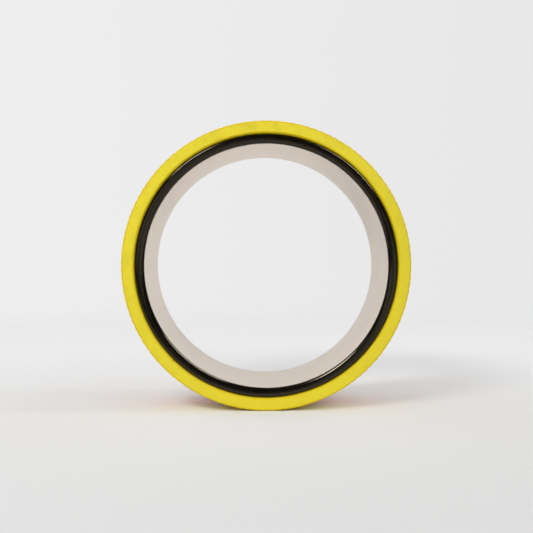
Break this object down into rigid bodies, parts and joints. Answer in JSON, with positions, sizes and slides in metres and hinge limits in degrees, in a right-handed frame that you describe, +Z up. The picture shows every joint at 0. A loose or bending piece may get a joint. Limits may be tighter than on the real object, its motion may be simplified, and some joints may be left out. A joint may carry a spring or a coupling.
{
  "type": "juggling ring",
  "caption": "Deep juggling ring: a glossy hoop with rounded lips, a thin pale liner in its bore and ribbed soft grip bands side by side around it.",
  "frame": {"origin": "centre of the ring, on its axis and halfway between its two faces", "axes": "+Y along the ring's axis, from the yellow front band to the rear band; +Z up, with the ring standing on its rim; +X to the right seen from the front"},
  "size_m": [0.32, 0.12, 0.32],
  "materials": {
    "hoop_plastic": "glossy black plastic with a rounded lip at each end",
    "liner_plastic": "smooth satin beige sheet",
    "yellow_rubber": "matte soft yellow rubber with fine ribs",
    "pink_rubber": "matte soft pink rubber with fine ribs",
    "cream_rubber": "matte soft cream rubber with fine ribs"
  },
  "bodies": {
    "root": {"core_hoop": "hoop_plastic", "bore_liner": "liner_plastic", "front_band": "yellow_rubber", "middle_band": "pink_rubber", "rear_band": "cream_rubber"}
  },
  "joints": []
}
